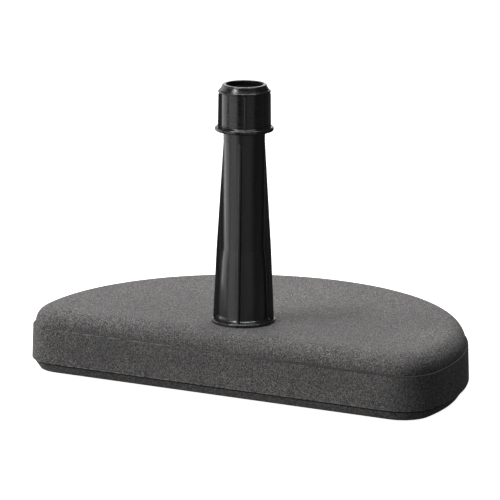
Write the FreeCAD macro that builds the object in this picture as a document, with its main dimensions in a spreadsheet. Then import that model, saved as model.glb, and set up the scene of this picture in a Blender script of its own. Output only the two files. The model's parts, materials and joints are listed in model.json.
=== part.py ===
import FreeCAD, Part

# Parasol base: a half-round concrete weight with a screwed-in pole tube and a clamping nut.

import math
import os

import Sketcher
from FreeCAD import Rotation, Vector

SHEET = "Dimensions"

# Millimetres and degrees. Heights above the deck are measured from the top face of the weight.
DIMENSIONS = {
    # plan of the weight
    "plan_radius": 240.0,
    "front_setback": 64.0,
    "arc_advance": 3.0,
    "corner_radius": 40.0,
    # profile of the weight
    "foot_gap": 2.0,
    "slab_height": 69.0,
    "lip_height": 9.5,
    "lip_foot_inset": 9.2,
    "lip_neck_inset": 2.5,
    "band_base": 11.2,
    "seam_height": 48.3,
    "band_draft": 1.85,
    "lip_draft": 35.2,
    "crown_inset": 3.9,
    "crown_round": 19.3,
    "band_edge_round": 0.8,
    # holes and pockets in the weight
    "spigot_hole": 23.4,
    "recess_radius": 46.0,
    "recess_depth": 24.0,
    "pad_pocket": 2.0,
    # foot pads
    "pad_radius": 15.0,
    "pad_edge_round": 1.0,
    "pad_front_x": 180.0,
    "pad_front_y": 28.0,
    "pad_rear_x": 115.0,
    "pad_rear_y": 150.0,
    "pad_fit": 0.3,
    # pole tube
    "bore_radius": 19.3,
    "ledge_radius": 15.0,
    "ledge_thickness": 5.0,
    "spigot_end": 6.0,
    "spigot_root": 21.9,
    "spigot_radius": 23.0,
    "spigot_relief": 20.0,
    "spigot_thread_start": 9.0,
    "spigot_thread_length": 15.0,
    "flange_radius": 33.6,
    "flange_thickness": 3.6,
    "flange_edge_round": 1.6,
    "foot_round": 4.0,
    "foot_radius": 25.2,
    "knee_height": 59.0,
    "knee_radius": 23.5,
    "flare_height": 77.0,
    "flare_radius": 21.8,
    "tube_radius": 21.3,
    "neck_height": 194.0,
    "neck_radius": 21.9,
    "head_height": 207.0,
    "head_root": 22.1,
    "head_top": 234.0,
    "mouth_depth": 8.0,
    "mouth_bottom_radius": 19.8,
    "mouth_top_radius": 20.9,
    # stiffening fins of the tube
    "fin_count": 4.0,
    "fin_twist": 17.0,
    "fin_thickness": 2.5,
    "fin_foot_radius": 32.6,
    "fin_knee_radius": 29.3,
    "fin_top_height": 192.0,
    "fin_top_radius": 22.0,
    "fin_root_radius": 20.0,
    "fin_sink": 1.0,
    # screw thread shared by the tube head and the clamping nut
    "pitch": 4.0,
    "ridge_half_root": 0.95,
    "ridge_half_tip": 0.45,
    "ridge_bury": 0.4,
    "head_crest": 22.9,
    "head_thread_start": 210.0,
    "head_thread_length": 22.0,
    # clamping nut
    "nut_base": 205.0,
    "nut_core": 23.3,
    "nut_crest": 22.45,
    "nut_flange_radius": 30.9,
    "nut_flange_thickness": 4.2,
    "nut_flange_round": 1.4,
    "nut_wall": 24.5,
    "shoulder_height": 245.5,
    "shoulder_radius": 27.6,
    "shoulder_top": 248.0,
    "shoulder_round": 0.6,
    "collar_foot_height": 248.2,
    "collar_foot_radius": 25.9,
    "collar_radius": 23.5,
    "collar_height": 252.3,
    "nut_top": 254.0,
    "nut_top_round": 1.5,
    "nut_opening": 19.6,
    "nut_cone_height": 242.0,
    "nut_cone_top": 249.8,
    "nut_cone_radius": 21.0,
    "rib_count": 4.0,
    "rib_twist": 29.5,
    "rib_width": 2.2,
    "rib_root_radius": 23.9,
    "rib_top_radius": 27.4,
    "rib_foot_radius": 27.9,
    "rib_drop": 2.2,
    "rib_bevel": 1.4,
    "rib_sink": 0.5,
    "nut_thread_length": 22.0,
    # collet
    "collet_bore": 19.4,
    "collet_base": 231.5,
    "collet_tip_radius": 20.1,
    "collet_skirt_radius": 20.4,
    "collet_seat": 235.5,
    "collet_radius": 22.8,
    "collet_cone_height": 241.8,
    "collet_top": 249.3,
    "collet_top_radius": 20.6,
    "slit_count": 6.0,
    "slit_width": 1.2,
    "slit_top": 245.0,
    # fixing nut and washer
    "washer_radius": 44.0,
    "washer_bore": 23.4,
    "washer_thickness": 2.0,
    "ring_nut_radius": 38.0,
    "ring_nut_height": 14.0,
    "ring_nut_core": 23.3,
    "ring_nut_crest": 22.2,
    "ring_thread_length": 11.0,
    "ring_nut_notches": 8.0,
    "ring_nut_round": 1.0,
    "notch_width": 9.0,
    "notch_floor_radius": 34.0,
}

# Each internal thread starts half a pitch out of step with the thread that it meets. The clamping nut
# is also turned a little against the tube, which moves its thread along by the same part of a pitch.
HALF_PITCH = DIMENSIONS["pitch"] / 2
NUT_ADVANCE = DIMENSIONS["pitch"] * (DIMENSIONS["rib_twist"] - DIMENSIONS["fin_twist"]) / 360
DIMENSIONS["nut_thread_start"] = DIMENSIONS["head_thread_start"] - HALF_PITCH + NUT_ADVANCE
DIMENSIONS["ring_thread_start"] = DIMENSIONS["spigot_thread_start"] + HALF_PITCH

DECK = "foot_gap + slab_height"


def value_of(terms):
    """Number that a sum such as 'foot_gap + slab_height - 2' stands for."""
    total = 0.0
    sign = 1.0
    for word in terms.split():
        if word == "+":
            sign = 1.0
        elif word == "-":
            sign = -1.0
        elif word in DIMENSIONS:
            total += sign * DIMENSIONS[word]
        else:
            total += sign * float(word)
    return total


def formula(terms):
    """The same sum, written so that it reads the spreadsheet."""
    return " ".join(f"{SHEET}.{word}" if word in DIMENSIONS else word for word in terms.split())


def above_deck(name):
    return f"{DECK} + {name}"


def make_sheet(doc):
    sheet = doc.addObject("Spreadsheet::Sheet", SHEET)
    for row, (name, size) in enumerate(DIMENSIONS.items(), start=1):
        sheet.set(f"A{row}", name)
        sheet.set(f"B{row}", str(size))
        sheet.setAlias(f"B{row}", name)
    doc.recompute()


def new_body(doc, label):
    body = doc.addObject("PartDesign::Body", label)
    body.Label = label
    return body


def new_sketch(body, name, plane, height="0"):
    """Sketch on one of the body's origin planes, raised along the plane's normal."""
    sketch = body.newObject("Sketcher::SketchObject", name)
    sketch.AttachmentSupport = [(find_origin(body, plane), "")]
    sketch.MapMode = "FlatFace"
    if height != "0":
        sketch.setExpression("AttachmentOffset.Base.z", formula(height))
    return sketch


def find_origin(body, role):
    return next(item for item in body.Origin.OriginFeatures if item.Role == role)


def bind(sketch, index, terms):
    sketch.setExpression(f"Constraints[{index}]", formula(terms))


def pin_point(sketch, geometry, position, axis, terms):
    """Tie one coordinate of a point, measured from the sketch origin, to the spreadsheet."""
    index = sketch.addConstraint(
        Sketcher.Constraint(f"Distance{axis}", -1, 1, geometry, position, value_of(terms))
    )
    bind(sketch, index, terms)


def polygon_sketch(body, name, plane, corners):
    """Closed outline of straight edges whose corners are (x, y) sums of dimensions."""
    sketch = new_sketch(body, name, plane)
    points = [Vector(value_of(x), value_of(y), 0) for x, y in corners]
    for start, end in zip(points, points[1:] + points[:1]):
        sketch.addGeometry(Part.LineSegment(start, end), False)
    count = len(points)
    for edge in range(count):
        sketch.addConstraint(Sketcher.Constraint("Coincident", edge, 2, (edge + 1) % count, 1))
    for edge, (x, y) in enumerate(corners):
        pin_point(sketch, edge, 1, "X", x)
        pin_point(sketch, edge, 1, "Y", y)
    return sketch


def circle_sketch(body, name, radius, height="0", centre=("0", "0")):
    sketch = new_sketch(body, name, "XY_Plane", height)
    x, y = (value_of(terms) for terms in centre)
    sketch.addGeometry(Part.Circle(Vector(x, y, 0), Vector(0, 0, 1), value_of(radius)), False)
    index = sketch.addConstraint(Sketcher.Constraint("Radius", 0, value_of(radius)))
    bind(sketch, index, radius)
    pin_point(sketch, 0, 3, "X", centre[0])
    pin_point(sketch, 0, 3, "Y", centre[1])
    return sketch


def plan_sketch(body, name, inset, height):
    """Half-round plan: a large back arc, two front corner arcs and a straight front, all set in."""
    sketch = new_sketch(body, name, "XY_Plane", height)
    gap = value_of(inset)
    arc_y = -value_of("arc_advance")
    front_y = -value_of("front_setback")
    radius = value_of("plan_radius")
    corner = value_of("corner_radius")
    corner_y = front_y + corner
    corner_x = math.sqrt((radius - corner) ** 2 - (corner_y - arc_y) ** 2)
    tilt = math.atan2(corner_y - arc_y, corner_x)
    up = Vector(0, 0, 1)
    back = Part.Circle(Vector(0, arc_y, 0), up, radius - gap)
    right = Part.Circle(Vector(corner_x, corner_y, 0), up, corner - gap)
    left = Part.Circle(Vector(-corner_x, corner_y, 0), up, corner - gap)
    sketch.addGeometry(Part.ArcOfCircle(back, tilt, math.pi - tilt), False)
    sketch.addGeometry(Part.ArcOfCircle(left, math.pi - tilt, 1.5 * math.pi), False)
    sketch.addGeometry(
        Part.LineSegment(Vector(-corner_x, front_y + gap, 0), Vector(corner_x, front_y + gap, 0)), False
    )
    sketch.addGeometry(Part.ArcOfCircle(right, -0.5 * math.pi, tilt), False)
    for first, first_end, second, second_end in ((0, 2, 1, 1), (1, 2, 2, 1), (2, 2, 3, 1), (3, 2, 0, 1)):
        sketch.addConstraint(Sketcher.Constraint("Tangent", first, first_end, second, second_end))
    sketch.addConstraint(Sketcher.Constraint("PointOnObject", 0, 3, -2))
    sketch.addConstraint(Sketcher.Constraint("Equal", 1, 3))
    sketch.addConstraint(Sketcher.Constraint("Horizontal", 2))
    index = sketch.addConstraint(Sketcher.Constraint("Radius", 0, radius - gap))
    bind(sketch, index, f"plan_radius - {inset}")
    index = sketch.addConstraint(Sketcher.Constraint("Radius", 1, corner - gap))
    bind(sketch, index, f"corner_radius - {inset}")
    index = sketch.addConstraint(Sketcher.Constraint("DistanceY", 0, 3, -1, 1, -arc_y))
    bind(sketch, index, "arc_advance")
    index = sketch.addConstraint(Sketcher.Constraint("DistanceY", 2, 1, -1, 1, -front_y - gap))
    bind(sketch, index, f"front_setback - {inset}")
    return sketch


def pad(body, name, sketch, length, taper=None):
    feature = body.newObject("PartDesign::Pad", name)
    feature.Profile = sketch
    feature.setExpression("Length", formula(length))
    if taper:
        feature.setExpression("TaperAngle", formula(taper))
    return feature


def rib_pad(body, name, sketch, width):
    """Pad both ways from the sketch plane."""
    feature = pad(body, name, sketch, width)
    feature.SideType = "Symmetric"
    return feature


def pocket(body, name, sketch, length):
    """Pocket that cuts upwards from the sketch plane."""
    feature = body.newObject("PartDesign::Pocket", name)
    feature.Profile = sketch
    feature.Reversed = True
    feature.setExpression("Length", formula(length))
    return feature


def revolve(body, name, sketch):
    feature = body.newObject("PartDesign::Revolution", name)
    feature.Profile = sketch
    feature.ReferenceAxis = (sketch, ["V_Axis"])
    feature.Angle = 360
    return feature


def repeat_round(body, name, originals, count):
    """Polar pattern about the pole axis, made the body's tip."""
    feature = body.newObject("PartDesign::PolarPattern", name)
    feature.Originals = originals
    feature.Axis = (find_origin(body, "Z_Axis"), [""])
    feature.Angle = 360
    feature.setExpression("Occurrences", formula(count))
    body.Tip = feature
    return feature


def round_edges(doc, body, name, base, radius, wanted):
    """Fillet the edges of base that pass the test."""
    doc.recompute()
    edges = [f"Edge{n}" for n, edge in enumerate(base.Shape.Edges, start=1) if wanted(edge)]
    feature = body.newObject("PartDesign::Fillet", name)
    feature.Base = (base, edges)
    feature.setExpression("Radius", formula(radius))
    return feature


def level_at(height):
    """Test for edges that lie flat at a height."""
    level = value_of(height)
    return lambda edge: abs(edge.BoundBox.ZMin - level) < 0.01 and abs(edge.BoundBox.ZMax - level) < 0.01


def ring_at(height, radius):
    """Test for the circle of one radius at a height."""
    flat = level_at(height)
    size = value_of(radius)

    def wanted(edge):
        return flat(edge) and isinstance(edge.Curve, Part.Circle) and abs(edge.Curve.Radius - size) < 0.01

    return wanted


def thread_ridge(body, name, root, crest, start, length):
    """Helical ridge of trapezium section that stands from the root radius to the crest radius."""
    outward = value_of(crest) > value_of(root)
    buried = f"{root} - ridge_bury" if outward else f"{root} + ridge_bury"
    section = [
        (buried, f"{start} - ridge_half_root"),
        (crest, f"{start} - ridge_half_tip"),
        (crest, f"{start} + ridge_half_tip"),
        (buried, f"{start} + ridge_half_root"),
    ]
    sketch = polygon_sketch(body, name + "Section", "XZ_Plane", section)
    ridge = body.newObject("PartDesign::AdditiveHelix", name)
    ridge.Profile = sketch
    ridge.ReferenceAxis = (find_origin(body, "Z_Axis"), [""])
    ridge.Mode = "pitch-height-angle"
    ridge.setExpression("Pitch", formula("pitch"))
    ridge.setExpression("Height", formula(length))
    return ridge


def outline_at(height, inset):
    """Test for the edges of the half-round plan, at a height and set in by a distance."""
    flat = level_at(height)
    radii = [value_of(f"plan_radius - {inset}"), value_of(f"corner_radius - {inset}")]
    front_y = -value_of(f"front_setback - {inset}")

    def wanted(edge):
        if not flat(edge):
            return False
        if isinstance(edge.Curve, Part.Circle):
            return min(abs(edge.Curve.Radius - radius) for radius in radii) < 0.01
        return abs(edge.BoundBox.YMin - front_y) < 0.01 and abs(edge.BoundBox.YMax - front_y) < 0.01

    return wanted


def turn(item, angle):
    """Turn a finished piece about the pole axis."""
    item.Placement = FreeCAD.Placement(Vector(), Rotation(Vector(0, 0, 1), value_of(angle)))
    item.setExpression("Placement.Rotation.Angle", formula(angle))


def pad_places():
    return {
        "foot_pad_front_left": ("0 - pad_front_x", "0 - pad_front_y"),
        "foot_pad_front_right": ("pad_front_x", "0 - pad_front_y"),
        "foot_pad_rear_left": ("0 - pad_rear_x", "pad_rear_y"),
        "foot_pad_rear_right": ("pad_rear_x", "pad_rear_y"),
    }


def make_concrete_weight(doc):
    body = new_body(doc, "concrete_weight")
    lip = plan_sketch(body, "LipPlan", "lip_foot_inset", "foot_gap")
    pad(body, "Lip", lip, "lip_height", "lip_draft")
    neck = plan_sketch(body, "NeckPlan", "lip_neck_inset", "foot_gap + lip_height")
    pad(body, "Neck", neck, "band_base - lip_height")
    band = plan_sketch(body, "BandPlan", "0", "foot_gap + band_base")
    pad(body, "Band", band, "seam_height - band_base", "0 - band_draft")
    crown = plan_sketch(body, "CrownPlan", "crown_inset", "foot_gap + seam_height")
    crown_pad = pad(body, "Crown", crown, "slab_height - seam_height")
    crown_edge = outline_at(DECK, "crown_inset")
    rounded = round_edges(doc, body, "CrownRound", crown_pad, "crown_round", crown_edge)
    band_edge = outline_at("foot_gap + band_base", "0")
    round_edges(doc, body, "BandEdge", rounded, "band_edge_round", band_edge)
    hole = circle_sketch(body, "HolePlan", "spigot_hole", "foot_gap")
    pocket(body, "SpigotHole", hole, DECK)
    recess = circle_sketch(body, "RecessPlan", "recess_radius", "foot_gap")
    pocket(body, "NutRecess", recess, "recess_depth")
    for name, place in pad_places().items():
        plan = circle_sketch(body, name + "_pocket_plan", "pad_radius", "foot_gap", place)
        pocket(body, name + "_pocket", plan, "pad_pocket")
    return body


def make_pole_tube(doc):
    body = new_body(doc, "pole_tube")
    ledge_top = "spigot_end + ledge_thickness"
    relief_top = "spigot_end + spigot_relief"
    flange_top = above_deck("flange_thickness")
    profile = [
        ("ledge_radius", "spigot_end"),
        ("spigot_root", "spigot_end"),
        ("spigot_root", relief_top),
        ("spigot_radius", relief_top),
        ("spigot_radius", DECK),
        ("flange_radius", DECK),
        ("flange_radius", flange_top),
        ("foot_radius", flange_top),
        ("knee_radius", above_deck("knee_height")),
        ("flare_radius", above_deck("flare_height")),
        ("tube_radius", above_deck("flare_height")),
        ("tube_radius", above_deck("neck_height")),
        ("neck_radius", above_deck("neck_height")),
        ("neck_radius", above_deck("head_height")),
        ("head_root", above_deck("head_height")),
        ("head_root", above_deck("head_top")),
        ("mouth_top_radius", above_deck("head_top")),
        ("mouth_bottom_radius", above_deck("head_top - mouth_depth")),
        ("bore_radius", above_deck("head_top - mouth_depth")),
        ("bore_radius", ledge_top),
        ("ledge_radius", ledge_top),
    ]
    wall = revolve(body, "Wall", polygon_sketch(body, "WallProfile", "XZ_Plane", profile))
    foot = round_edges(doc, body, "FootRound", wall, "foot_round", ring_at(flange_top, "foot_radius"))
    round_edges(doc, body, "FlangeEdge", foot, "flange_edge_round", ring_at(flange_top, "flange_radius"))
    outline = [
        ("fin_root_radius", above_deck("fin_sink")),
        ("fin_foot_radius", above_deck("fin_sink")),
        ("fin_foot_radius", flange_top),
        ("fin_knee_radius", above_deck("flare_height")),
        ("fin_top_radius", above_deck("fin_top_height")),
        ("fin_root_radius", above_deck("fin_top_height")),
    ]
    fin = rib_pad(body, "Fin", polygon_sketch(body, "FinOutline", "XZ_Plane", outline), "fin_thickness")
    repeat_round(body, "Fins", [fin], "fin_count")
    start = above_deck("head_thread_start")
    thread_ridge(body, "HeadThread", "head_root", "head_crest", start, "head_thread_length")
    start = "spigot_thread_start"
    thread_ridge(body, "SpigotThread", "spigot_root", "spigot_radius", start, "spigot_thread_length")
    turn(body, "fin_twist")
    return body


def make_clamp_nut(doc):
    body = new_body(doc, "clamp_nut")
    base = above_deck("nut_base")
    flange_top = above_deck("nut_base + nut_flange_thickness")
    shoulder = above_deck("shoulder_height")
    top = above_deck("nut_top")
    profile = [
        ("nut_core", base),
        ("nut_flange_radius", base),
        ("nut_flange_radius", flange_top),
        ("nut_wall", flange_top),
        ("nut_wall", shoulder),
        ("shoulder_radius", shoulder),
        ("shoulder_radius", above_deck("shoulder_top")),
        ("collar_foot_radius", above_deck("collar_foot_height")),
        ("collar_radius", above_deck("collar_height")),
        ("collar_radius", top),
        ("nut_opening", top),
        ("nut_opening", above_deck("nut_cone_top")),
        ("nut_cone_radius", above_deck("nut_cone_top")),
        ("nut_core", above_deck("nut_cone_height")),
    ]
    wall = revolve(body, "Wall", polygon_sketch(body, "WallProfile", "XZ_Plane", profile))
    edge = ring_at(flange_top, "nut_flange_radius")
    upper = round_edges(doc, body, "FlangeUpper", wall, "nut_flange_round", edge)
    edge = ring_at(base, "nut_flange_radius")
    lower = round_edges(doc, body, "FlangeLower", upper, "nut_flange_round", edge)
    edge = ring_at(top, "collar_radius")
    collar = round_edges(doc, body, "CollarEdge", lower, "nut_top_round", edge)
    edge = ring_at(above_deck("shoulder_top"), "shoulder_radius")
    round_edges(doc, body, "ShoulderEdge", collar, "shoulder_round", edge)
    rib_foot = above_deck("nut_base + nut_flange_thickness - rib_sink")
    rib_top = above_deck("shoulder_height + rib_sink")
    outline = [
        ("rib_root_radius", rib_foot),
        ("rib_foot_radius", rib_foot),
        ("rib_top_radius", above_deck("shoulder_height - rib_drop")),
        ("rib_top_radius - rib_bevel", rib_top),
        ("rib_root_radius", rib_top),
    ]
    rib = rib_pad(body, "Rib", polygon_sketch(body, "RibOutline", "XZ_Plane", outline), "rib_width")
    repeat_round(body, "Ribs", [rib], "rib_count")
    start = above_deck("nut_thread_start")
    thread_ridge(body, "Thread", "nut_core", "nut_crest", start, "nut_thread_length")
    turn(body, "rib_twist")
    return body


def make_clamp_collet(doc):
    body = new_body(doc, "clamp_collet")
    base = above_deck("collet_base")
    seat = above_deck("collet_seat")
    top = above_deck("collet_top")
    profile = [
        ("collet_bore", base),
        ("collet_tip_radius", base),
        ("collet_skirt_radius", above_deck("head_top")),
        ("collet_skirt_radius", seat),
        ("collet_radius", seat),
        ("collet_radius", above_deck("collet_cone_height")),
        ("collet_top_radius", top),
        ("collet_bore", top),
    ]
    revolve(body, "Ring", polygon_sketch(body, "RingProfile", "XZ_Plane", profile))
    slit = polygon_sketch(
        body,
        "SlitOutline",
        "XZ_Plane",
        [
            ("0", above_deck("collet_base - 1")),
            ("collet_radius + 1", above_deck("collet_base - 1")),
            ("collet_radius + 1", above_deck("slit_top")),
            ("0", above_deck("slit_top")),
        ],
    )
    cut = body.newObject("PartDesign::Pocket", "Slit")
    cut.Profile = slit
    cut.SideType = "Symmetric"
    cut.setExpression("Length", formula("slit_width"))
    repeat_round(body, "Slits", [cut], "slit_count")
    return body


def make_fixing_nut(doc):
    body = new_body(doc, "fixing_nut")
    top = "foot_gap + recess_depth - washer_thickness"
    base = f"{top} - ring_nut_height"
    profile = [
        ("ring_nut_core", base),
        ("ring_nut_radius", base),
        ("ring_nut_radius", top),
        ("ring_nut_core", top),
    ]
    ring = revolve(body, "Ring", polygon_sketch(body, "RingProfile", "XZ_Plane", profile))
    round_edges(doc, body, "LowerEdge", ring, "ring_nut_round", ring_at(base, "ring_nut_radius"))
    notch = polygon_sketch(
        body,
        "NotchOutline",
        "XZ_Plane",
        [
            ("notch_floor_radius", f"{base} - 1"),
            ("ring_nut_radius + 1", f"{base} - 1"),
            ("ring_nut_radius + 1", f"{top} + 1"),
            ("notch_floor_radius", f"{top} + 1"),
        ],
    )
    cut = body.newObject("PartDesign::Pocket", "Notch")
    cut.Profile = notch
    cut.SideType = "Symmetric"
    cut.setExpression("Length", formula("notch_width"))
    repeat_round(body, "Notches", [cut], "ring_nut_notches")
    start = "ring_thread_start"
    thread_ridge(body, "Thread", "ring_nut_core", "ring_nut_crest", start, "ring_thread_length")
    turn(body, "fin_twist")
    return body


def make_fixing_washer(doc):
    height = "foot_gap + recess_depth - washer_thickness"
    disc = doc.addObject("Part::Cylinder", "WasherDisc")
    disc.setExpression("Radius", formula("washer_radius"))
    disc.setExpression("Height", formula("washer_thickness"))
    hole = doc.addObject("Part::Cylinder", "WasherHole")
    hole.setExpression("Radius", formula("washer_bore"))
    hole.setExpression("Height", formula("washer_thickness"))
    washer = doc.addObject("Part::Cut", "fixing_washer")
    washer.Base = disc
    washer.Tool = hole
    washer.Label = "fixing_washer"
    washer.setExpression("Placement.Base.z", formula(height))
    return washer


def make_foot_pad(doc, name, place):
    body = new_body(doc, name)
    plan = circle_sketch(body, "PadPlan", "pad_radius - pad_fit", "0", place)
    disc = pad(body, "Disc", plan, "foot_gap + pad_pocket")
    round_edges(doc, body, "TreadEdge", disc, "pad_edge_round", level_at("0"))
    return body


def check_document(doc):
    """Stop if any feature of the document failed to build."""
    for item in doc.Objects:
        if {"Invalid", "Error"} & set(item.State):
            raise RuntimeError(f"{item.Name} failed: {item.State}")


def write_part(item):
    shape = item.Shape
    if shape.isNull() or not shape.isValid() or len(shape.Solids) != 1:
        raise RuntimeError(f"{item.Label} is not one valid solid")
    shape.exportStep(os.path.join("parts", item.Label + ".step"))
    box = shape.BoundBox
    print(f"{item.Label}: {shape.Volume / 1000:.1f} cm3, z {box.ZMin:.2f} to {box.ZMax:.2f}")


def main():
    doc = FreeCAD.newDocument("parasol_base")
    make_sheet(doc)
    pieces = [
        make_concrete_weight(doc),
        make_pole_tube(doc),
        make_clamp_nut(doc),
        make_clamp_collet(doc),
        make_fixing_nut(doc),
        make_fixing_washer(doc),
    ]
    for name, place in pad_places().items():
        pieces.append(make_foot_pad(doc, name, place))
    doc.recompute()
    check_document(doc)
    os.makedirs("parts", exist_ok=True)
    for piece in pieces:
        write_part(piece)


main()
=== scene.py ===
import json
import math
from functools import cache

import bmesh
import bpy
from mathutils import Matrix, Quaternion, Vector


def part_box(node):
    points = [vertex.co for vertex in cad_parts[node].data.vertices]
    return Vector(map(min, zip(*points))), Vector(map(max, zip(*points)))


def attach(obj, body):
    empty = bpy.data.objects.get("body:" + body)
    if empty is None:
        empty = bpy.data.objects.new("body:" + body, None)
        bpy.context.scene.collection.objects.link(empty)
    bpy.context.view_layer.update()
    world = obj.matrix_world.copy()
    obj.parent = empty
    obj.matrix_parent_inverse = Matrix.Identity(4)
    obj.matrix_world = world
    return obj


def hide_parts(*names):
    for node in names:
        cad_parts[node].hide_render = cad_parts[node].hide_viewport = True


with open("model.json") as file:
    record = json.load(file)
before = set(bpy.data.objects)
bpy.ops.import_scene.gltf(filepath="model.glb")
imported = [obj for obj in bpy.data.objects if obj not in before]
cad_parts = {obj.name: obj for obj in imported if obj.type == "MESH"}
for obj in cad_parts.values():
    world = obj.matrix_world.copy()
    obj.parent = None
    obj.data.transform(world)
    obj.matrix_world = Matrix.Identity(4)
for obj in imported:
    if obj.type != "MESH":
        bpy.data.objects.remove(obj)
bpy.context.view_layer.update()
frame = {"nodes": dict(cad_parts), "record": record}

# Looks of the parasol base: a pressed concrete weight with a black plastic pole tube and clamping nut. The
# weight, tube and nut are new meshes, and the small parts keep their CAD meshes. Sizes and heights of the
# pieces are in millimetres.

MM = 0.001
WEIGHT_LOW, WEIGHT_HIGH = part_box("concrete_weight")
TUBE_LOW, TUBE_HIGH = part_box("pole_tube")
NUT_LOW, NUT_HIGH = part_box("clamp_nut")
UNDERSIDE = WEIGHT_LOW.z / MM
DECK = WEIGHT_HIGH.z / MM
TUBE_FOOT = TUBE_LOW.z / MM
TUBE_TOP = TUBE_HIGH.z / MM
NUT_FOOT = NUT_LOW.z / MM
NUT_TOP = NUT_HIGH.z / MM
PITCH = 4.0  # of every thread


# ---------------------------------------------------------------- mesh tools


def mix(a, b, share):
    return a + (b - a) * share


def arc(centre, radius, start, end, steps):
    """Points on an arc, angles in degrees."""
    angles = [math.radians(start + (end - start) * i / steps) for i in range(steps + 1)]
    return [(centre[0] + radius * math.cos(a), centre[1] + radius * math.sin(a)) for a in angles]


def soften(points, steps=5):
    """Profile with each (x, y, radius) corner turned into an arc; a radius of 0 keeps it sharp."""
    smooth = []
    count = len(points)
    for i, (x, y, radius) in enumerate(points):
        corner = Vector((x, y))
        before = (Vector(points[i - 1][:2]) - corner).normalized()
        after = (Vector(points[(i + 1) % count][:2]) - corner).normalized()
        if radius <= 0:
            smooth.append((x, y))
            continue
        half = before.angle(after) / 2
        reach = radius / math.tan(half)
        centre = corner + (before + after).normalized() * (radius / math.sin(half))
        first = corner + before * reach - centre
        last = corner + after * reach - centre
        turn = first.angle_signed(last)
        for step in range(steps + 1):
            angle = -turn * step / steps
            c, s = math.cos(angle), math.sin(angle)
            smooth.append((centre.x + first.x * c - first.y * s, centre.y + first.x * s + first.y * c))
    return smooth


def mesh_object(name, verts, faces):
    mesh = bpy.data.meshes.new(name)
    mesh.from_pydata([(x * MM, y * MM, z * MM) for x, y, z in verts], [], faces)
    mesh.validate()
    piece = bpy.data.objects.new(name, mesh)
    bpy.context.scene.collection.objects.link(piece)
    face_outwards(piece)
    mesh.shade_smooth()
    return piece


def face_outwards(piece):
    work = bmesh.new()
    work.from_mesh(piece.data)
    bmesh.ops.recalc_face_normals(work, faces=work.faces)
    work.to_mesh(piece.data)
    work.free()


def weigh_normals(piece, angle=40):
    piece.data.set_sharp_from_angle(angle=math.radians(angle))
    modifier = piece.modifiers.new("Normals", "WEIGHTED_NORMAL")
    modifier.keep_sharp = True
    modifier.weight = 80


def loft(name, rings):
    """Skin a list of rings with equal numbers of points, and join the last ring to the first."""
    size = len(rings[0])
    verts = [point for ring in rings for point in ring]
    faces = []
    for a in range(len(rings)):
        b = (a + 1) % len(rings)
        for i in range(size):
            j = (i + 1) % size
            faces.append((a * size + i, a * size + j, b * size + j, b * size + i))
    return mesh_object(name, verts, faces)


# ---------------------------------------------------------------- concrete weight

PLAN_RADIUS = (WEIGHT_HIGH.x - WEIGHT_LOW.x) / 2 / MM
FRONT_Y = WEIGHT_LOW.y / MM
ARC_Y = WEIGHT_HIGH.y / MM - PLAN_RADIUS
CORNER_RADIUS = 40.0
SPIGOT_HOLE = 23.4
RECESS_RADIUS = 46.0
RECESS_DEPTH = 24.0
PAD_FIT = 0.3
CROWN_ROUND = 19.3
CROWN_INSET = 3.9
SEAM_Z = UNDERSIDE + 48.3
BAND_Z = UNDERSIDE + 11.2
LIP_Z = UNDERSIDE + 9.5
LIP_FOOT_INSET = 9.2
LIP_NECK_INSET = 2.5
BAND_TOP_INSET = 1.2
BACK_POINTS = 220
CORNER_POINTS = 30
FRONT_POINTS = 120


def plan_ring(inset, z):
    """Half-round outline, set in by a distance, as a ring of points."""
    corner_y = FRONT_Y + CORNER_RADIUS
    reach = PLAN_RADIUS - CORNER_RADIUS
    corner_x = math.sqrt(reach**2 - (corner_y - ARC_Y) ** 2)
    tilt = math.degrees(math.atan2(corner_y - ARC_Y, corner_x))
    back = arc((0, ARC_Y), PLAN_RADIUS - inset, tilt, 180 - tilt, BACK_POINTS)
    left = arc((-corner_x, corner_y), CORNER_RADIUS - inset, 180 - tilt, 270, CORNER_POINTS)[1:]
    right = arc((corner_x, corner_y), CORNER_RADIUS - inset, 270, 360 + tilt, CORNER_POINTS)[:-1]
    width = 2 * corner_x
    front = [
        (-corner_x + width * i / FRONT_POINTS, FRONT_Y + inset) for i in range(1, FRONT_POINTS)
    ]
    return [(x, y, z) for x, y in back + left + front + right]


def circle_like(ring, radius, z):
    """Ring on a circle about the pole axis, each point on the same bearing as in another ring."""
    points = []
    for x, y, _ in ring:
        bearing = math.atan2(y, x)
        points.append((radius * math.cos(bearing), radius * math.sin(bearing), z))
    return points


def between(ring_a, ring_b, share):
    """Ring part of the way from one ring to another."""
    pairs = zip(ring_a, ring_b)
    return [tuple(mix(a, b, share) for a, b in zip(*points)) for points in pairs]


def side_profile():
    """(inset, z) points from the underside, round the lip, up to the edge of the flat top."""
    corners = [
        (LIP_FOOT_INSET + 20, UNDERSIDE, 0),
        (LIP_FOOT_INSET, UNDERSIDE, 1.4),
        (LIP_NECK_INSET, LIP_Z, 0.8),
        (LIP_NECK_INSET + 0.25, BAND_Z, 0.3),
        (0.0, BAND_Z, 0.8),
        (BAND_TOP_INSET, SEAM_Z, 0.5),
        (CROWN_INSET, SEAM_Z - 0.15, 0.4),
        (CROWN_INSET, DECK - CROWN_ROUND, 0),
    ]
    crown = arc((CROWN_INSET + CROWN_ROUND, DECK - CROWN_ROUND), CROWN_ROUND, 180, 90, 20)
    return soften(corners + [(x, y, 0) for x, y in crown[1:]])


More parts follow.
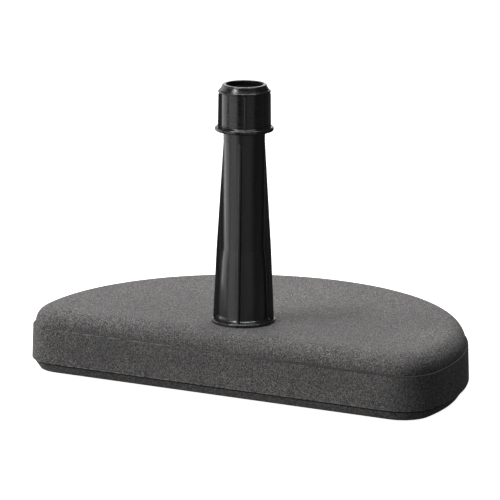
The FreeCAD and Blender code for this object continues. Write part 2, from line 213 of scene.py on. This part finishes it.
def make_weight():
    rings = [plan_ring(inset, z) for inset, z in side_profile()]
    top_edge = rings[-1]
    top_hole = circle_like(top_edge, SPIGOT_HOLE, DECK)
    rings += [between(top_edge, top_hole, share) for share in (0.1, 0.3, 0.5, 0.7, 0.9)]
    rings.append(top_hole)
    ceiling = UNDERSIDE + RECESS_DEPTH
    low_rim = rings[0]
    mouth = circle_like(low_rim, RECESS_RADIUS, UNDERSIDE)
    rings.append(circle_like(low_rim, SPIGOT_HOLE, ceiling))
    rings.append(circle_like(low_rim, RECESS_RADIUS, ceiling))
    rings.append(mouth)
    rings += [between(mouth, low_rim, share) for share in (0.3, 0.7)]
    weight = loft("pressed_weight", rings)
    cut_pad_pockets(weight)
    weight.data.materials.append(concrete_material())
    weigh_normals(weight)
    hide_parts("concrete_weight")
    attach(weight, "base")


def cut_pad_pockets(weight):
    """Shallow round pockets that the foot pads sit in."""
    for node in frame["record"]["behaviour"]["bodies"]["base"]:
        if not node.startswith("foot_pad"):
            continue
        low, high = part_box(node)
        centre = (low + high) / 2
        bpy.ops.mesh.primitive_cylinder_add(
            vertices=64,
            radius=(high.x - low.x) / 2 + PAD_FIT * MM,
            depth=2 * high.z,
            location=(centre.x, centre.y, 0),
        )
        cutter = bpy.context.object
        modifier = weight.modifiers.new("Pocket", "BOOLEAN")
        modifier.operation = "DIFFERENCE"
        modifier.object = cutter
        modifier.solver = "EXACT"
        bpy.context.view_layer.objects.active = weight
        bpy.ops.object.modifier_apply(modifier=modifier.name)
        bpy.data.objects.remove(cutter)


# ---------------------------------------------------------------- ribbed tubes

RIBS = 4
ARC_POINTS = 22
LEAST_RISE = 0.12


def ribbed_ring(radius, z, rib_radius, thickness, twist, fillet, edge=0.0):
    """Ring round a tube with ribs, or a plain circle of as many points where rib_radius is None."""
    half = thickness / 2
    if rib_radius is None:
        offsets = [half + fillet, half + 0.35 * fillet, half, half * 0.92, half * 0.8, half * 0.45, 0.0]
        flank = [(math.sqrt(radius**2 - offset**2), offset) for offset in offsets]
    else:
        root = math.sqrt(radius**2 - (half + fillet) ** 2)
        tip = max(rib_radius, radius + LEAST_RISE)
        rise = tip - root
        blend = min(fillet, 0.35 * rise)
        ease = min(edge, 0.35 * rise)
        flank = [
            (root, half + fillet),
            (root + 0.30 * blend, half + 0.35 * fillet),
            (root + 1.1 * blend, half),
            (tip - ease, half * 0.98),
            (tip - 0.3 * ease, half * 0.86),
            (tip, half * 0.5),
            (tip, 0.0),
        ]
    outline = [(x, -y) for x, y in flank] + flank[-2::-1]
    bearing = math.asin((half + fillet) / radius)
    points = []
    sector = 2 * math.pi / RIBS
    for rib in range(RIBS):
        middle = math.radians(twist) + rib * sector
        c, s = math.cos(middle), math.sin(middle)
        points += [(x * c - y * s, x * s + y * c, z) for x, y in outline]
        for step in range(1, ARC_POINTS):
            angle = middle + bearing + (sector - 2 * bearing) * step / ARC_POINTS
            points.append((radius * math.cos(angle), radius * math.sin(angle), z))
    return points


# ---------------------------------------------------------------- pole tube

FIN_TWIST = 17.0
FIN_THICKNESS = 2.5
FIN_FILLET = 0.8
FIN_EDGE = 0.9
FIN_FOOT = 32.6
FIN_TOP = 22.0
FIN_KNEE = 29.3
FIN_TOP_Z = DECK + 193.0
FLANGE_TOP = DECK + 3.6
FLANGE_RADIUS = (TUBE_HIGH.x - TUBE_LOW.x) / 2 / MM
FOOT_RADIUS = 25.2
FOOT_ROUND = 4.0
KNEE_Z, KNEE_RADIUS = DECK + 59.0, 23.5
FLARE_Z, FLARE_RADIUS = DECK + 77.0, 21.8
TUBE_RADIUS = 21.3
NECK_Z, NECK_RADIUS = DECK + 194.0, 21.9
HEAD_Z, HEAD_ROOT = DECK + 207.0, 22.1
HEAD_CREST = 22.9
BORE_RADIUS = 19.3
MOUTH_Z = TUBE_TOP - 8.0
MOUTH_RADIUS, MOUTH_TOP_RADIUS = 19.8, 20.9
LEDGE_Z = TUBE_FOOT + 5
DRAIN_RADIUS = 15.0
SPIGOT_ROOT, SPIGOT_RADIUS = 21.9, 23.0
SPIGOT_THREAD_Z, SPIGOT_THREAD_LENGTH = TUBE_FOOT + 3.0, 15.0
SPIGOT_NECK_Z = TUBE_FOOT + 20
HEAD_THREAD_Z, HEAD_THREAD_LENGTH = DECK + 210.0, 22.0


def fin_radius(z):
    if z < FLARE_Z:
        return mix(FIN_FOOT, FIN_KNEE, (z - FLANGE_TOP) / (FLARE_Z - FLANGE_TOP))
    return mix(FIN_KNEE, FIN_TOP, (z - FLARE_Z) / (FIN_TOP_Z - FLARE_Z))


def shaft_stations():
    """(radius, z) stations up the finned shaft, from the flange to the neck."""
    foot_z = FLANGE_TOP + FOOT_ROUND
    stations = arc((FOOT_RADIUS + FOOT_ROUND, foot_z), FOOT_ROUND, 270, 180, 6)
    stations += bulged(FOOT_RADIUS, foot_z, KNEE_RADIUS, KNEE_Z, 0.25)
    stations += bulged(KNEE_RADIUS, KNEE_Z, FLARE_RADIUS, FLARE_Z, 0.2)
    straight_z = FLARE_Z + 1.4
    stations.append((TUBE_RADIUS + 0.1, FLARE_Z + 0.8))
    stations.append((TUBE_RADIUS, straight_z))
    steps = 12
    for i in range(1, steps + 1):
        stations.append((TUBE_RADIUS, mix(straight_z, FIN_TOP_Z, i / steps)))
    return stations


def bulged(radius_a, z_a, radius_b, z_b, bulge, steps=8):
    """(radius, z) stations of a slightly bulged cone, without its first one."""
    stations = []
    for i in range(1, steps + 1):
        share = i / steps
        radius = mix(radius_a, radius_b, share) + bulge * math.sin(math.pi * share)
        stations.append((radius, mix(z_a, z_b, share)))
    return stations


def make_tube():
    def plain(radius, z):
        return ribbed_ring(radius, z, None, FIN_THICKNESS, FIN_TWIST, FIN_FILLET)

    low = [
        (DRAIN_RADIUS, TUBE_FOOT, 0.4),
        (SPIGOT_ROOT, TUBE_FOOT, 0.5),
        (SPIGOT_ROOT, SPIGOT_NECK_Z, 0),
        (SPIGOT_RADIUS, SPIGOT_NECK_Z, 0.2),
        (SPIGOT_RADIUS, DECK, 0.1),
        (FLANGE_RADIUS, DECK, 0.3),
        (FLANGE_RADIUS, FLANGE_TOP, 1.6),
        (FLANGE_RADIUS - 3.0, FLANGE_TOP, 0),
    ]
    rings = [plain(radius, z) for radius, z in soften(low)[:-1]]
    rings += [
        ribbed_ring(radius, z, fin_radius(z), FIN_THICKNESS, FIN_TWIST, FIN_FILLET, FIN_EDGE)
        for radius, z in shaft_stations()
    ]
    high = [
        (TUBE_RADIUS, NECK_Z, 0),
        (NECK_RADIUS, NECK_Z, 0.15),
        (NECK_RADIUS, HEAD_Z, 0),
        (HEAD_ROOT, HEAD_Z, 0.3),
        (HEAD_ROOT, TUBE_TOP, 0.3),
        (MOUTH_TOP_RADIUS, TUBE_TOP, 0.15),
        (MOUTH_RADIUS, MOUTH_Z, 0),
        (BORE_RADIUS, MOUTH_Z, 0.15),
        (BORE_RADIUS, LEDGE_Z, 0),
        (DRAIN_RADIUS, LEDGE_Z, 0.4),
    ]
    rings += [plain(radius, z) for radius, z in soften(high)]
    tube = loft("moulded_tube", rings)
    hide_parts("pole_tube")
    finish_plastic(tube, "base", tube_material())
    thread = helix("tube_thread", HEAD_ROOT, HEAD_CREST, HEAD_THREAD_Z, HEAD_THREAD_LENGTH, FIN_TWIST)
    finish_plastic(thread, "base", tube_material())
    spigot = helix(
        "spigot_thread", SPIGOT_ROOT, SPIGOT_RADIUS, SPIGOT_THREAD_Z, SPIGOT_THREAD_LENGTH, FIN_TWIST
    )
    finish_plastic(spigot, "base", tube_material())


THREAD_HALF_ROOT = 0.95
THREAD_HALF_TIP = 0.45
THREAD_BURY = 0.35
TURN_STEPS = 48
TAPER_STEPS = 12


def helix(name, root, crest, start, length, twist):
    """Trapezium ridge wound about the pole axis, tapering away at both ends."""
    inner = root - THREAD_BURY if crest > root else root + THREAD_BURY
    count = round(length / PITCH * TURN_STEPS)
    verts = []
    for i in range(count + 1):
        angle = math.radians(twist) + 2 * math.pi * i / TURN_STEPS
        z = start + PITCH * i / TURN_STEPS
        fade = min(1.0, i / TAPER_STEPS, (count - i) / TAPER_STEPS)
        tip = mix(mix(root, inner, 0.5), crest, fade)
        section = [
            (inner, z - THREAD_HALF_ROOT),
            (tip, z - THREAD_HALF_TIP),
            (tip, z + THREAD_HALF_TIP),
            (inner, z + THREAD_HALF_ROOT),
        ]
        verts += [(radius * math.cos(angle), radius * math.sin(angle), height) for radius, height in section]
    last = 4 * count
    faces = [(0, 1, 2, 3), (last + 3, last + 2, last + 1, last)]
    for a in range(0, last, 4):
        for k in range(4):
            m = (k + 1) % 4
            faces.append((a + k, a + m, a + 4 + m, a + 4 + k))
    return mesh_object(name, verts, faces)


def finish_plastic(piece, body, material):
    piece.data.materials.append(material)
    weigh_normals(piece)
    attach(piece, body)


# ---------------------------------------------------------------- clamping nut

RIB_TWIST = 29.5
RIB_WIDTH = 2.2
RIB_FILLET = 0.5
RIB_EDGE = 1.0
NUT_WALL = 24.5
NUT_CORE = 23.3
NUT_CREST = 22.45
NUT_FLANGE = (NUT_HIGH.x - NUT_LOW.x) / 2 / MM
NUT_OPENING = 19.6
RIB_FOOT, RIB_TOP = 27.9, 27.4
RIB_DROP = 2.2
RIB_BEVEL = 1.4
NUT_FLANGE_TOP = NUT_FOOT + 4.2
WALL_ROUND = 0.9
SHOULDER_Z = NUT_TOP - 8.5
SHOULDER_TOP = NUT_TOP - 6.0
SHOULDER_RADIUS = 27.6
COLLAR_FOOT_RADIUS = 25.9
COLLAR_RADIUS = 23.5
SEAT_Z, SEAT_RADIUS = NUT_TOP - 4.2, 21.0
SINK_DEPTH = 0.03
NUT_THREAD_Z, NUT_THREAD_LENGTH = DECK + 208.0, 22.0


def make_nut():
    def plain(radius, z):
        return ribbed_ring(radius, z, None, RIB_WIDTH, RIB_TWIST, RIB_FILLET)

    base = [
        (NUT_CORE, NUT_FOOT, 0.4),
        (NUT_FLANGE, NUT_FOOT, 1.2),
        (NUT_FLANGE, NUT_FLANGE_TOP, 1.6),
        (NUT_WALL + 3.2, NUT_FLANGE_TOP, 0),
    ]
    rings = [plain(radius, z) for radius, z in soften(base)]
    wall_z = NUT_FLANGE_TOP + WALL_ROUND
    stations = arc((NUT_WALL + WALL_ROUND, wall_z), WALL_ROUND, 270, 180, 4)
    steps = 72
    for i in range(1, steps):
        z = mix(wall_z, SHOULDER_Z, i / steps)
        sink = SINK_DEPTH * math.sin(2 * math.pi * (z - wall_z) / PITCH)
        stations.append((NUT_WALL + sink, z))
    for radius, z in stations:
        rib = mix(RIB_FOOT, RIB_TOP, (z - NUT_FLANGE_TOP) / (SHOULDER_Z - NUT_FLANGE_TOP))
        rib -= RIB_BEVEL * max(0.0, (z - SHOULDER_Z + RIB_DROP) / RIB_DROP)
        rings.append(ribbed_ring(radius, z, rib, RIB_WIDTH, RIB_TWIST, RIB_FILLET, RIB_EDGE))
    cap = [
        (NUT_WALL, SHOULDER_Z, 0),
        (SHOULDER_RADIUS, SHOULDER_Z, 0.4),
        (SHOULDER_RADIUS, SHOULDER_TOP, 1.2),
        (COLLAR_FOOT_RADIUS, SHOULDER_TOP + 0.2, 0.3),
        (COLLAR_RADIUS, NUT_TOP - 1.7, 0.5),
        (COLLAR_RADIUS, NUT_TOP, 1.2),
        (NUT_OPENING, NUT_TOP, 0.7),
        (NUT_OPENING, SEAT_Z, 0.2),
        (SEAT_RADIUS, SEAT_Z, 0),
        (NUT_CORE, NUT_TOP - 12.0, 0),
        (NUT_CORE, NUT_FOOT + 2.0, 0),
    ]
    rings += [plain(radius, z) for radius, z in soften(cap)]
    nut = loft("moulded_nut", rings)
    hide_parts("clamp_nut")
    finish_plastic(nut, "nut", nut_material())
    start = NUT_THREAD_Z + PITCH * (RIB_TWIST - FIN_TWIST) / 360
    thread = helix("nut_thread", NUT_CORE, NUT_CREST, start, NUT_THREAD_LENGTH, RIB_TWIST)
    finish_plastic(thread, "nut", nut_material())


# ---------------------------------------------------------------- materials


class Shader:
    """Small helper for a material's node tree, in object coordinates."""

    def __init__(self, name):
        self.material = bpy.data.materials.new(name)
        self.material.use_nodes = True
        self.tree = self.material.node_tree
        self.bsdf = self.tree.nodes["Principled BSDF"]
        self.place = self.add("ShaderNodeTexCoord").outputs["Object"]

    def add(self, kind, **values):
        """New node with the given properties."""
        node = self.tree.nodes.new(kind)
        for key, value in values.items():
            setattr(node, key, value)
        return node

    def link(self, source, target):
        self.tree.links.new(source, target)

    def stretch(self, scale):
        node = self.add("ShaderNodeMapping")
        node.inputs["Scale"].default_value = scale
        self.link(self.place, node.inputs["Vector"])
        return node.outputs["Vector"]

    def noise(self, scale, detail=4.0, rough=0.6, place=None, distortion=0.0):
        node = self.add("ShaderNodeTexNoise")
        node.inputs["Scale"].default_value = scale
        node.inputs["Detail"].default_value = detail
        node.inputs["Roughness"].default_value = rough
        node.inputs["Distortion"].default_value = distortion
        self.link(place or self.place, node.inputs["Vector"])
        return node.outputs["Fac"]

    def cells(self, scale):
        node = self.add("ShaderNodeTexVoronoi")
        node.inputs["Scale"].default_value = scale
        self.link(self.place, node.inputs["Vector"])
        return node.outputs["Distance"], node.outputs["Color"]

    def ramp(self, source, stops):
        node = self.add("ShaderNodeValToRGB")
        elements = node.color_ramp.elements
        while len(elements) < len(stops):
            elements.new(0.5)
        for element, (position, colour) in zip(elements, stops):
            element.position = position
            element.color = (*colour, 1.0)
        self.link(source, node.inputs["Fac"])
        return node.outputs["Color"]

    def grey_ramp(self, source, stops):
        return self.ramp(source, [(position, (value, value, value)) for position, value in stops])

    def math(self, operation, first, second):
        node = self.add("ShaderNodeMath", operation=operation)
        for socket, value in zip(node.inputs, (first, second)):
            if isinstance(value, (int, float)):
                socket.default_value = value
            else:
                self.link(value, socket)
        return node.outputs["Value"]

    def blend(self, factor, first, second, mode="MIX"):
        node = self.add("ShaderNodeMix", data_type="RGBA", blend_type=mode)
        if isinstance(factor, float):
            node.inputs[0].default_value = factor
        else:
            self.link(factor, node.inputs[0])
        for socket, value in ((node.inputs[6], first), (node.inputs[7], second)):
            if isinstance(value, tuple):
                socket.default_value = (*value, 1.0)
            else:
                self.link(value, socket)
        return node.outputs[2]

    def bump(self, height, distance, strength=1.0, below=None):
        node = self.add("ShaderNodeBump")
        node.inputs["Strength"].default_value = strength
        node.inputs["Distance"].default_value = distance
        self.link(height, node.inputs["Height"])
        if below is not None:
            self.link(below, node.inputs["Normal"])
        return node.outputs["Normal"]

    def climb(self, start, end, axis="Z"):
        """0 up to the start and 1 past the end of a stretch of an axis, in millimetres."""
        node = self.add("ShaderNodeSeparateXYZ")
        self.link(self.place, node.inputs["Vector"])
        span = self.add("ShaderNodeMapRange")
        span.inputs["From Min"].default_value = start * MM
        span.inputs["From Max"].default_value = end * MM
        self.link(node.outputs[axis], span.inputs["Value"])
        return span.outputs["Result"]

    def strip(self, low, high, fade=0.6):
        """1 between two heights, fading to 0 just beyond them, in millimetres."""
        return self.math("MULTIPLY", self.climb(low - fade, low), self.climb(high + fade, high))


def concrete_material():
    s = Shader("pressed_concrete")
    clouds = s.noise(9.0, 5.0, 0.62)
    base = s.ramp(clouds, [(0.30, (0.128, 0.1238, 0.1228)), (0.70, (0.176, 0.1704, 0.1680))])
    mottling = s.noise(110.0, 5.0, 0.75)
    base = s.blend(0.08, base, s.grey_ramp(mottling, [(0.36, 0.36), (0.64, 0.64)]), "OVERLAY")
    grit = s.noise(420.0, 3.0, 0.8)
    base = s.blend(0.08, base, s.grey_ramp(grit, [(0.38, 0.24), (0.63, 0.78)]), "OVERLAY")
    sand = s.noise(900.0, 1.0, 0.7)
    base = s.blend(0.6, base, s.grey_ramp(sand, [(0.41, 0.17), (0.60, 0.86)]), "OVERLAY")
    grains = s.cells(1150.0)[1]
    base = s.blend(1.0, base, s.grey_ramp(grains, [(0.15, 0.17), (0.85, 0.84)]), "OVERLAY")
    distance, colour = s.cells(520.0)
    chosen = s.grey_ramp(colour, [(0.90, 0.0), (0.93, 1.0)])
    near = s.grey_ramp(distance, [(0.26, 1.0), (0.42, 0.0)])
    base = s.blend(s.math("MULTIPLY", chosen, near), base, (0.50, 0.49, 0.47))
    pits = s.noise(640.0, 2.0, 0.6)
    pit_mask = s.grey_ramp(pits, [(0.27, 1.0), (0.34, 0.0)])
    base = s.blend(pit_mask, base, (0.030, 0.029, 0.028))
    rubbing = s.noise(140.0, 5.0, 0.75)
    worn = s.grey_ramp(rubbing, [(0.46, 0.0), (0.58, 1.0)])
    worn = s.math("MULTIPLY", s.strip(BAND_Z, BAND_Z + 1.0), worn)
    base = s.blend(worn, base, (0.38, 0.37, 0.36))
    # Painted shade in the groove under the band, where the band's overhang keeps light off the lip.
    groove_shade = s.math("MULTIPLY", s.strip(LIP_Z, BAND_Z - 0.2, 0.4), 0.95)
    base = s.blend(groove_shade, base, (0.030, 0.029, 0.028))
    # Painted contact shade: a dark strip just above the underside, where the bottom edge meets the floor.
    foot = s.math("MULTIPLY", s.strip(UNDERSIDE + 0.3, UNDERSIDE + 0.9, 0.2), 0.7)
    base = s.blend(foot, base, (0.035, 0.034, 0.033))
    seam = s.strip(SEAM_Z - 0.5, SEAM_Z)
    base = s.blend(s.math("MULTIPLY", seam, 0.92), base, (0.034, 0.033, 0.032))
    # Light line along the seam: partly rubbed moulding flash, partly a painted highlight that fades out
    # towards the right end, where less light falls.
    flash_and_highlight = s.math("MULTIPLY", seam, s.grey_ramp(rubbing, [(0.40, 0.0), (0.60, 0.9)]))
    flash_and_highlight = s.math("MULTIPLY", flash_and_highlight, s.climb(120, -60, "X"))
    base = s.blend(flash_and_highlight, base, (0.225, 0.219, 0.214))
    s.link(base, s.bsdf.inputs["Base Color"])
    s.link(s.grey_ramp(clouds, [(0.3, 0.80), (0.7, 0.92)]), s.bsdf.inputs["Roughness"])
    s.bsdf.inputs["Specular IOR Level"].default_value = 0.35
    coarse = s.bump(mottling, 0.0005, 0.15)
    fine = s.bump(sand, 0.0006, 0.9, s.bump(grit, 0.0004, 0.2, coarse))
    s.link(s.bump(pit_mask, -0.0005, 0.8, fine), s.bsdf.inputs["Normal"])
    return s.material


ALONG = (1.0, 1.0, 0.03)
AROUND = (0.08, 0.08, 1.6)


@cache
def plastic_material(name, dark, light, gloss, marks, mark_depth):
    """Satin plastic between two near-blacks, whose drawn marks run along the pole axis or round it."""
    s = Shader(name)
    flow = s.noise(14.0, 4.0, 0.6, s.stretch((1.0, 1.0, 0.12)))
    drawn = s.noise(330.0, 4.0, 0.7, s.stretch(marks))
    tint = s.ramp(flow, [(0.35, dark), (0.65, light)])
    tint = s.blend(0.5, tint, s.grey_ramp(drawn, [(0.36, 0.2), (0.64, 0.8)]), "OVERLAY")
    s.link(tint, s.bsdf.inputs["Base Color"])
    s.link(s.grey_ramp(drawn, [(0.36, gloss), (0.64, gloss + 0.16)]), s.bsdf.inputs["Roughness"])
    s.bsdf.inputs["IOR"].default_value = 1.49
    waves = s.noise(40.0, 3.0, 0.5, s.stretch((1.0, 1.0, 0.12)))
    broad = s.bump(waves, 0.0010, 0.35)
    s.link(s.bump(drawn, mark_depth, 0.6, broad), s.bsdf.inputs["Normal"])
    return s.material


def tube_material():
    dark, light = (0.010, 0.010, 0.011), (0.018, 0.018, 0.019)
    return plastic_material("tube_polypropylene", dark, light, 0.22, ALONG, 0.00018)


def nut_material():
    dark, light = (0.009, 0.009, 0.010), (0.015, 0.015, 0.016)
    return plastic_material("nut_polypropylene", dark, light, 0.15, AROUND, 0.00020)


def collet_material():
    dark, light = (0.010, 0.010, 0.010), (0.016, 0.016, 0.017)
    return plastic_material("collet_plastic", dark, light, 0.35, AROUND, 0.0001)


def rubber_material():
    s = Shader("pad_rubber")
    grain = s.noise(500.0, 4.0, 0.6)
    s.link(s.grey_ramp(grain, [(0.35, 0.012), (0.7, 0.03)]), s.bsdf.inputs["Base Color"])
    s.link(s.grey_ramp(grain, [(0.3, 0.75), (0.7, 0.92)]), s.bsdf.inputs["Roughness"])
    s.link(s.bump(grain, 0.0002, 0.5), s.bsdf.inputs["Normal"])
    return s.material


def zinc_material():
    s = Shader("zinc_plate")
    spangle = s.noise(90.0, 5.0, 0.7, distortion=0.6)
    tint = s.ramp(spangle, [(0.3, (0.42, 0.43, 0.45)), (0.7, (0.62, 0.63, 0.64))])
    s.link(tint, s.bsdf.inputs["Base Color"])
    s.link(s.grey_ramp(spangle, [(0.3, 0.28), (0.7, 0.45)]), s.bsdf.inputs["Roughness"])
    s.bsdf.inputs["Metallic"].default_value = 1.0
    return s.material


def dress_node(node, material):
    """Give a node that keeps its CAD mesh its finish."""
    shape = frame["nodes"][node]
    shape.data.materials.clear()
    shape.data.materials.append(material)


def dress_cad_nodes():
    dress_node("clamp_collet", collet_material())
    dress_node("fixing_nut", tube_material())
    dress_node("fixing_washer", zinc_material())
    rubber = rubber_material()
    for node in frame["nodes"]:
        if node.startswith("foot_pad"):
            dress_node(node, rubber)


# ---------------------------------------------------------------- stage, light, camera

AZIMUTH = math.radians(27.90)
ELEVATION = math.radians(12.78)
ROLL = math.radians(-0.29)
CAMERA_DISTANCE = 4.463
CAMERA_RIGHT = -0.0100
CAMERA_UP = 0.0383
FOCAL_LENGTH = 303.0
AIM = Vector((0.0, 0.0352, 0.1012))


def make_camera():
    right = Vector((math.cos(AZIMUTH), math.sin(AZIMUTH), 0))
    forward = Vector((-math.sin(AZIMUTH), math.cos(AZIMUTH), 0))
    ahead = forward * math.cos(ELEVATION) - Vector((0, 0, math.sin(ELEVATION)))
    up = right.cross(ahead)
    data = bpy.data.cameras.new("camera")
    data.lens = FOCAL_LENGTH
    data.sensor_width = 36.0
    data.clip_end = 60.0
    camera = bpy.data.objects.new("camera", data)
    bpy.context.scene.collection.objects.link(camera)
    camera.location = AIM - ahead * CAMERA_DISTANCE + right * CAMERA_RIGHT + up * CAMERA_UP
    camera.rotation_mode = "QUATERNION"
    camera.rotation_quaternion = Quaternion(ahead, ROLL) @ ahead.to_track_quat("-Z", "Y")
    bpy.context.scene.camera = camera


def area_light(name, bearing, distance, height, size, radiance, seen_by="both"):
    """Soft panel that faces the base from a bearing, in degrees from the front towards the right.

    It lights everything, or with seen_by only matt shading or only gloss.
    """
    data = bpy.data.lights.new(name, "AREA")
    data.shape = "RECTANGLE"
    data.size, data.size_y = size
    data.energy = radiance * math.pi * size[0] * size[1]
    light = bpy.data.objects.new(name, data)
    bpy.context.scene.collection.objects.link(light)
    angle = math.radians(bearing)
    place = Vector((distance * math.sin(angle), -distance * math.cos(angle), height))
    light.location = place
    light.rotation_mode = "QUATERNION"
    light.rotation_quaternion = (AIM - place).to_track_quat("-Z", "Y")
    light.visible_camera = False
    light.visible_diffuse = seen_by != "gloss"
    light.visible_glossy = seen_by != "matt"


def make_stage():
    bpy.ops.mesh.primitive_plane_add(size=40, location=(0, 0, 0))
    floor = bpy.context.object
    floor.name = "floor"
    floor.visible_diffuse = False
    floor.visible_glossy = False
    floor.visible_shadow = False
    s = Shader("studio_floor")
    tone = s.noise(3.0, 2.0, 0.5)
    s.link(s.grey_ramp(tone, [(0.3, 0.83), (0.7, 0.86)]), s.bsdf.inputs["Base Color"])
    s.bsdf.inputs["Roughness"].default_value = 0.9
    s.bsdf.inputs["Emission Color"].default_value = (1, 1, 1, 1)
    s.bsdf.inputs["Emission Strength"].default_value = 0.97
    floor.data.materials.append(s.material)


def make_lights():
    world = bpy.data.worlds.new("studio")
    bpy.context.scene.world = world
    world.use_nodes = True
    background = world.node_tree.nodes["Background"]
    background.inputs["Color"].default_value = (1, 1, 1, 1)
    background.inputs["Strength"].default_value = 0.05
    area_light("overhead_back", 195, 0.40, 1.1, (1.0, 0.9), 3.5, seen_by="matt")
    area_light("overhead_left", -45, 0.75, 1.9, (0.4, 0.4), 22.0)
    area_light("left_front", -32, 2.4, 0.3, (2.2, 2.2), 1.45)
    area_light("left_side", -95, 2.3, 0.3, (2.6, 2.2), 1.5)
    area_light("right_fill", 112, 2.4, 0.3, (2.6, 2.2), 0.08, seen_by="gloss")
    area_light("front_fill", 46, 2.4, 0.3, (3.0, 2.2), 0.42, seen_by="gloss")
    area_light("glint", -30, 1.6, 1.9, (0.45, 0.4), 24.0, seen_by="gloss")
    area_light("top_strip", 28, 0.45, 2.5, (3.2, 0.5), 19.0, seen_by="gloss")
    area_light("backdrop", 205, 2.4, 0.2, (1.6, 1.6), 1.9, seen_by="gloss")
    bpy.context.scene.view_settings.view_transform = "Standard"


make_camera()
make_weight()
make_tube()
make_nut()
dress_cad_nodes()
make_stage()
make_lights()
